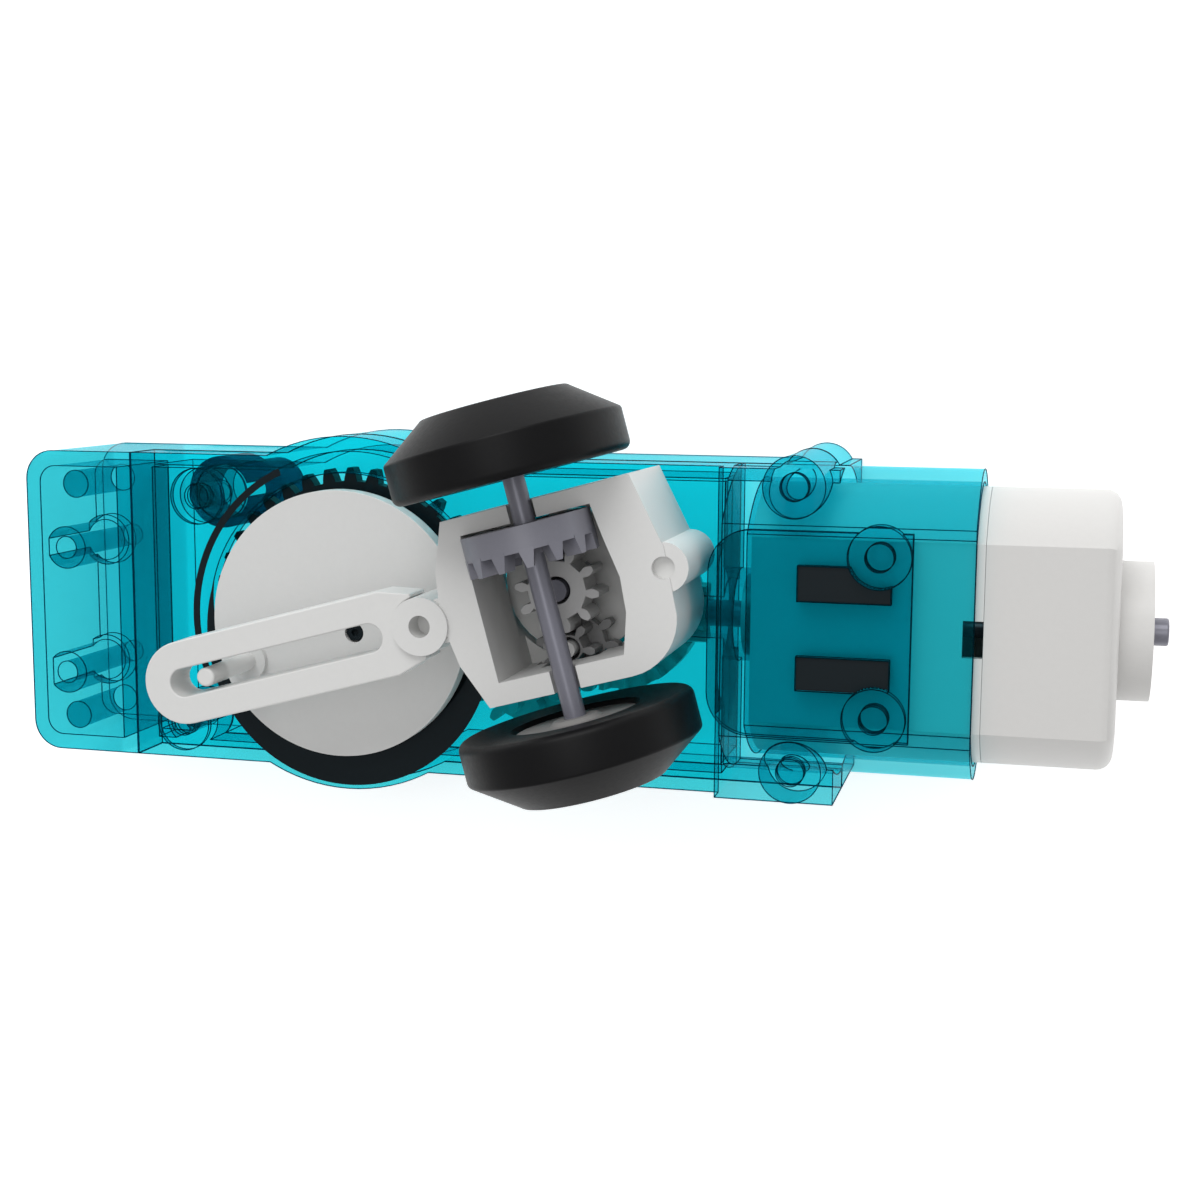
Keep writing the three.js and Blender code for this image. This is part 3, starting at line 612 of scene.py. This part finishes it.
def case_front():
    z0 = SPLIT_Z + 0.1
    x0 = TRAY_X1 + WALL + 0.1
    body = join(prism(plan(0, EAR_X1), z0, PLATE_Z), bulge(0, z0, PLATE_Z))
    roof = PLATE_Z - WALL
    hollow = join(prism(plan(WALL, EAR_X1 - WALL), z0 - 1, roof), bulge(WALL, z0 - 1, roof))
    body = carve(body, hollow)
    body = join(body, block(x0, x0 + WALL, CASE_Y0 + 0.5, CASE_Y1 - 0.5, z0, PLATE_Z - 0.5))
    tray_side = block(-FAR, x0, -FAR, FAR, 0, FAR)
    body = carve(body, tray_side, block(EAR_X0 - 1, EAR_X1 + 1, -FAR, FAR, z0 - 1, FAR))
    body = join(
        body,
        block(EAR_X0 - 1.1, EAR_X1, CASE_Y0, CASE_Y1, z0, EAR_Z),
        block(COVER_X0, EAR_X0 - 0.4, CASE_Y0, CASE_Y1, PLATE_Z - 1, EAR_Z),
        prism(cover_panel(), PLATE_Z - 1, COVER_Z),
    )
    body = carve(body, block(EAR_X0 - 0.1, FAR, -PANEL_HALF, PANEL_HALF, z0 - 1, COVER_Z - 0.8))
    posts = [(x, y, z0, top) for x, y, top in BOSSES]
    posts += [(x, y, COVER_SEAT_Z, COVER_Z + 0.7) for x, y in COVER_BOSSES]
    body = join(body, *[cyl(x, y, BOSS_R, low, top, 56) for x, y, low, top in posts])
    body = join(body, cyl(*IDLER, 2, PLATE_Z - WALL, PLATE_Z, 40))
    cuts = [cyl(x, y, BOSS_HOLE_R, low - 1, top - 0.9, 40) for x, y, low, top in posts]
    cuts += [cyl(x, y, BOSS_HOLE_R, top - 0.5, top + 1, 40) for x, y, low, top in posts]
    cuts += [
        motor_prism(SLEEVE_R + SLEEVE_GAP, SLEEVE_FLAT + SLEEVE_GAP, SLEEVE_X0 - SLEEVE_GAP, 40),
        cyl(*CRANK, WELL_R, PLATE_Z - 2, PLATE_Z + 1, 96),
        cyl(*IDLER, IDLE_PIN_R + 0.05, 10, PLATE_Z - 0.3, 32),
        cyl(*STEER, 3.15, 10, PLATE_Z + 1, 64),
        cylx(0, MOTOR_Z, 2.7, 6.4, 13, 48),
    ]
    cuts += [cover_window(y0, y1) for y0, y1 in WINDOWS]
    return carve(body, *cuts)


def well_painted_shade():
    """Painted shade round the crank disc, for the look only: a black crescent between two circles,
    and a thin arc on the side of the tray, where the well wall shows dark in bent light."""
    x, y = CRANK
    low = PLATE_Z + 0.01
    high = PLATE_Z + 0.07
    crescent = carve(cyl(x, y - 1.2, 11.8, low, high, 128), cyl(x, y + 1.3, 11.2, 11, 13, 128))
    line = prism(arc(x, y, 12.95, 115, 205, 30) + arc(x, y, 12.4, 205, 115, 30), low, high)
    return join(crescent, line)


def boss_web():
    """Obround foot round the upper screw boss by the tray, with a second hole at its side."""
    body = join(
        cyl(*LUG, 2.9, LUG_Z0, LUG_Z1),
        cyl(*LUG_SIDE, 2.3, LUG_Z0, LUG_Z1),
        block(LUG[0], LUG_SIDE[0], 6.0, 10.1, LUG_Z0, LUG_Z1),
    )
    return carve(body, cyl(*LUG_SIDE, 0.9, 3, 9, 40), cyl(*LUG, BOSS_R + 0.05, 3, 9, 40))


BACK_SHELL = piece("case_back_shell", case_back(), CLEAR, "base", ["case_back"], 0)
FRONT_SHELL = piece("case_front_shell", case_front(), CLEAR, "base", ["case_front"], 0)
piece("case_back_edges", edge_lines(BACK_SHELL), RIM, "base", [], 0)
piece("case_front_edges", edge_lines(FRONT_SHELL), RIM, "base", [], 0)
# Black crescent and arc by the well: painted shade.
piece("case_well_painted_shade", well_painted_shade(), BLACK, "base", [], 0)
piece("case_boss_web", boss_web(), RIM, "base", [], 0.1)


# ---- motor ----
def motor_can():
    body = carve(
        motor_prism(MOTOR_R, MOTOR_FLAT, MOTOR_X0, CAN_X1),
        motor_prism(MOTOR_R - 0.6, MOTOR_FLAT - 0.6, MOTOR_X0 + 0.6, CAN_X1 + 1),
    )
    body = join(body, cylx(0, MOTOR_Z, 3.05, 12.3, MOTOR_X0 + 0.3))
    notch = block(CAN_X1 - 1.4, CAN_X1 + 2, -1.3, 1.3, 14, 18)
    return carve(body, cylx(0, MOTOR_Z, SHAFT_R + 0.3, 12, 16), notch)


def motor_bell():
    a = CAN_X1 + 0.02
    round_r = 1.1
    turns = [math.radians(15 * k) for k in range(7)]
    stations = [(a, 0)]
    stations += [(MOTOR_X1 - round_r + round_r * math.sin(t), round_r - round_r * math.cos(t)) for t in turns]
    body = join(motor_loft(MOTOR_R, MOTOR_FLAT, stations), cylx(0, MOTOR_Z, 5, MOTOR_X1 - 0.5, BOSS_X1))
    return carve(body, cylx(0, MOTOR_Z, SHAFT_R + 0.3, 29, 43), cylx(0, MOTOR_Z, 6.8, 29, a + 4.9))


def motor_shaft():
    return cylx(0, MOTOR_Z, SHAFT_R, SHAFT_X0, SHAFT_X1, 48)


piece("motor_can_shell", motor_can(), CAN, "base", ["motor_can"], 0)
piece("motor_bell_shell", motor_bell(), BELL, "base", ["motor_end_bell"], 0.03, 35)
piece("motor_shaft_rod", motor_shaft(), STEEL, "rotor", ["motor_shaft"], 0.15)

# ---- crank, gears ----
PIN = crank_pin_point()


def crank_gear():
    phase = mesh_phase(PINION_TEETH, 0, heading(IDLER, CRANK), CRANK_TEETH)
    wheel = gear(CRANK_TEETH, BOX_MODULE, phase, UPPER_Z0, UPPER_Z1)
    body = join(wheel, cyl(0, 0, 3.4, 7.4, 12.1))
    spots = [2 * math.pi * k / 5 for k in range(5)]
    holes = [cyl(6.6 * math.cos(a), 6.6 * math.sin(a), 1.9, 9, 11, 40) for a in spots]
    return moved(carve(body, cyl(0, 0, CRANK_SHAFT_R + 0.02, 0, 20), *holes), at(CRANK))


def crank_disc():
    foot = cyl(*PIN, 1.5, DISC_Z1 - 0.3, DISC_Z1 + 0.5, 40)
    body = join(cyl(*CRANK, DISC_R, DISC_Z0, DISC_Z1, 128), foot)
    return carve(body, cyl(*DIMPLE, DIMPLE_R, DIMPLE_Z, 15, 40))


def disc_socket():
    """Dark six-sided insert in the dimple of the disc."""
    body = prism(arc(*DIMPLE, DIMPLE_R - 0.03, 0, 300, 5), DIMPLE_Z + 0.02, DIMPLE_Z + 0.6)
    return carve(body, prism(arc(*DIMPLE, 0.3, 0, 300, 5), DIMPLE_Z + 0.3, DIMPLE_Z + 1))


def crank_shaft():
    return cyl(*CRANK, CRANK_SHAFT_R, 0.55, 12.9, 48)


def crank_pin():
    return cyl(*PIN, PIN_R, 13.6, 21.5, 40)


piece("crank_gear_wheel", crank_gear(), BLACK, "crank", ["crank_gear"], 0.08)
piece("crank_disc_plate", crank_disc(), DISC_SHADED_WHITE, "crank", ["crank_disc"], 0.25, 32, 4)
piece("crank_disc_socket", disc_socket(), BLACK, "crank", [], 0.05)
piece("crank_pin_stud", crank_pin(), WHITE, "crank", ["crank_pin"], 0.2, 32, 3)
piece("crank_shaft_rod", crank_shaft(), STEEL, "crank", ["crank_shaft"])


def face_gear():
    body = join(cyl(0, 0, 6.8, 4.0, 5.6, 96), *face_teeth(FACE_TEETH, FACE_MODULE, 5.8, 6.8, 1.3, 5.6))
    pinion = gear(PINION_TEETH, BOX_MODULE, 0, LOWER_Z0, LOWER_Z1, 0.38)
    body = join(body, cyl(0, 0, 2.2, 3.0, LOWER_Z0 + 0.1), pinion)
    return moved(carve(body, cyl(0, 0, IDLE_HOLE_R, 0, 12, 40)), at(FACE))


def idler_gear():
    phase = mesh_phase(PINION_TEETH, 0, heading(FACE, IDLER), IDLER_TEETH)
    wheel = gear(IDLER_TEETH, BOX_MODULE, phase, LOWER_Z0, LOWER_Z1, 0.4)
    body = join(wheel, gear(PINION_TEETH, BOX_MODULE, 0, LOWER_Z1 - 0.1, UPPER_Z1))
    return moved(carve(body, cyl(0, 0, IDLE_HOLE_R, 0, 12, 40)), at(IDLER))


def steer_gear():
    phase = mesh_phase(PINION_TEETH, 0, heading(IDLER, STEER), STEER_TEETH)
    wheel = gear(STEER_TEETH, BOX_MODULE, phase, UPPER_Z0, UPPER_Z1)
    body = join(wheel, cyl(0, 0, 2.2, UPPER_Z1 - 0.1, 11.6))
    return moved(carve(body, cyl(0, 0, 1.02, 0, 20, 40)), at(STEER))


piece("face_gear_wheel", face_gear(), WHITE, "face", ["face_gear"], 0.06)
piece("idler_gear_wheel", idler_gear(), PALE, "idler", ["idler_gear"], 0.06)
piece("steer_gear_wheel", steer_gear(), PALE, "drive", ["steer_gear"], 0.06)


def light_gear():
    body = gear(LIGHT_TEETH, CAGE_MODULE, LIGHT_PHASE, 15.6, 18.6, 0.4)
    return moved(carve(body, cyl(0, 0, 1.0, 10, 20, 40)), at(STEER))


def back_gear():
    phase = mesh_phase(LIGHT_TEETH, LIGHT_PHASE, DIR_BACK, BACK_TEETH)
    small = gear(BACK_TEETH, CAGE_MODULE, phase, 15.2, 17.6, 0.36, 0.55)
    body = join(gear(PINION_TEETH, CAGE_MODULE, 0, 14.2, 15.3, 0.4), small)
    return moved(carve(body, cyl(0, 0, 0.85, 10, 20, 40)), at(BACK))


piece("light_gear_wheel", light_gear(), PALE, "light", ["light_gear"], 0.06)
piece("back_gear_wheel", back_gear(), DARK, "back", ["back_gear"], 0.06)

# ---- yoke ----
CAGE = [(-5.9, -6.8), (4.8, -6.8)] + arc(4.8, -2.6, 4.2, -80, -10, 8) + [(9.2, 1.5), (8.1, 6.8)]
CAGE += [(-6.0, 6.8), (-7.3, 3.4), (-7.8, 0), (-7.3, -3.4)]
WINDOW = [(-4.8, -5.2), (4.6, -5.2), (5.5, -2.4), (5.7, 0.1), (5.2, 3.1), (4.9, 5.5), (-4.8, 5.5)]


def cage():
    body = prism(CAGE, YOKE_BASE, YOKE_TOP)
    body = carve(body, prism(WINDOW, FLOOR_TOP, YOKE_TOP + 1), cyl(0, 0, 5.7, 10, 15, 96))
    body = join(
        body,
        cyl(PEG_X, 0, 1.75, YOKE_BASE, YOKE_TOP - 0.2),
        block(RING_X, -7, -1.6, 1.6, ARM_Z, YOKE_TOP - 0.2),
    )
    body = join(body, cyl(RING_X, 0, 2.1, 16.5, YOKE_TOP + 0.3))
    body = carve(
        body,
        cyl(RING_X, 0, 0.8, YOKE_TOP - 1.6, YOKE_TOP + 1, 40),
        cyl(PEG_X, 0, 0.8, YOKE_TOP - 0.7, YOKE_TOP + 1, 40),
        block(-AXLE_NOTCH, AXLE_NOTCH, -8, 8, AXLE_Z, YOKE_TOP + 1),
        cyly(0, AXLE_Z, AXLE_NOTCH, -8, 8, 40),
        block(-3.9, 3.0, -8, -4.9, 14.0, 15.6),
        block(-2.8, 1.7, -8, -4.9, 15.5, 18.0),
    )
    a = DIR_BACK - YOKE_ANGLE
    post = (BACK_DIST * math.cos(a), BACK_DIST * math.sin(a))
    return join(
        body,
        block(-1.7, 0.7, -6.0, -4.3, FLOOR_TOP - 0.1, 14.0),
        cyl(*post, 1.2, FLOOR_TOP - 0.1, 14.0, 40),
        cyl(*post, 0.6, 13.9, 18.2, 32),
    )


def arm():
    tip = ARM_END + ARM_HALF
    outline = arc(tip, 0, ARM_HALF, 90, 270, 24)
    outline += [(-12, -ARM_HALF), (-9.7, -2.4), (-9.7, 2.4), (-12, ARM_HALF)]
    slot = arc(tip, 0, SLOT_HALF, 90, 270, 20) + arc(SLOT_END, 0, SLOT_HALF, -90, 90, 20)
    return carve(prism(outline, ARM_Z, YOKE_TOP - 0.2), prism(slot, 15, 25), cyl(RING_X, 0, 2.15, 10, 25))


piece("yoke_cage_body", moved(cage(), YOKE), WHITE, "yoke", ["yoke_cage"], 0.35, 32, 3)
piece("yoke_arm_body", moved(arm(), YOKE), WHITE, "yoke", ["yoke_arm"], 0.5, 32, 4)


# ---- axle, crown gear, wheels ----
def crown():
    teeth = face_teeth(CROWN_TEETH, CAGE_MODULE, 3.2, 4.65, 1.15, 1.75)
    body = join(cyl(0, 0, 4.65, 0, 1.75, 96), cyl(0, 0, 1.7, 0, 2.2, 48), *teeth)
    body = carve(body, cyl(0, 0, AXLE_R + 0.02, -1, 4, 40))
    lay = Matrix.Translation((0, 5.3 * MM, AXLE_Z * MM)) @ Matrix.Rotation(math.radians(90), 4, "X")
    return moved(body, YOKE @ lay)


def axle():
    return moved(cyly(0, AXLE_Z, AXLE_R, -11.2, 11.2, 48), YOKE)


def tyre_profile():
    corner = arc(WHEEL_R - 0.6, WHEEL_IN + 0.6, 0.6, -90, 0, 6)
    edge = arc(WHEEL_R - 0.35, WHEEL_OUT - 0.3, 0.35, 0, 40, 4)
    end = arc(WHEEL_END_R - 0.4, WHEEL_END - 0.4, 0.4, 40, 90, 4)
    return [(HUB_R + 0.05, WHEEL_IN + 0.45), (HUB_R + 0.3, WHEEL_IN + 0.15)] + corner + edge + end + [
        (HUB_R + 0.3, WHEEL_END), (HUB_R + 0.05, WHEEL_END - 0.3)]


def hub_profile():
    b = AXLE_R + 0.02
    end = WHEEL_END - 0.5
    return [(b, WHEEL_IN + 0.2), (1.6, WHEEL_IN + 0.2), (1.9, WHEEL_IN + 0.45), (HUB_R, WHEEL_IN + 0.5),
            (HUB_R, end), (2.0, end), (1.8, end + 0.3), (0, end + 0.3), (0, 11.25), (b, 11.25)]


for side, letter in ((1, "a"), (-1, "b")):
    lay = Matrix.Translation((0, 0, AXLE_Z * MM)) @ Matrix.Rotation(math.radians(-90 * side), 4, "X")
    piece(f"tyre_{letter}_ring", moved(lathe(tyre_profile()), YOKE @ lay), RUBBER, "wheels",
          [f"tyre_{letter}"], 0, 45)
    piece(f"hub_{letter}_disc", moved(lathe(hub_profile()), YOKE @ lay), HUB, "wheels",
          [f"hub_{letter}"], 0, 35)

piece("crown_gear_ring", crown(), VIOLET, "wheels", ["crown_gear"], 0.06)
piece("axle_rod", axle(), STEEL, "wheels", ["axle"], 0.12)

# ---- CAD nodes that keep their own mesh ----
KEPT = {
    "motor_magnet_a": IRON, "motor_magnet_b": IRON, "motor_rotor": IRON, "motor_pinion": PALE,
    "motor_pad_a": BLACK, "motor_pad_b": BLACK, "face_gear_pin": STEEL, "idler_pin": STEEL,
    "drive_shaft": STEEL, "drive_pinion": STEEL, "pivot_ring": WHITE,
}
for node, material in KEPT.items():
    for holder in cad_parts[node].material_slots:
        holder.material = material
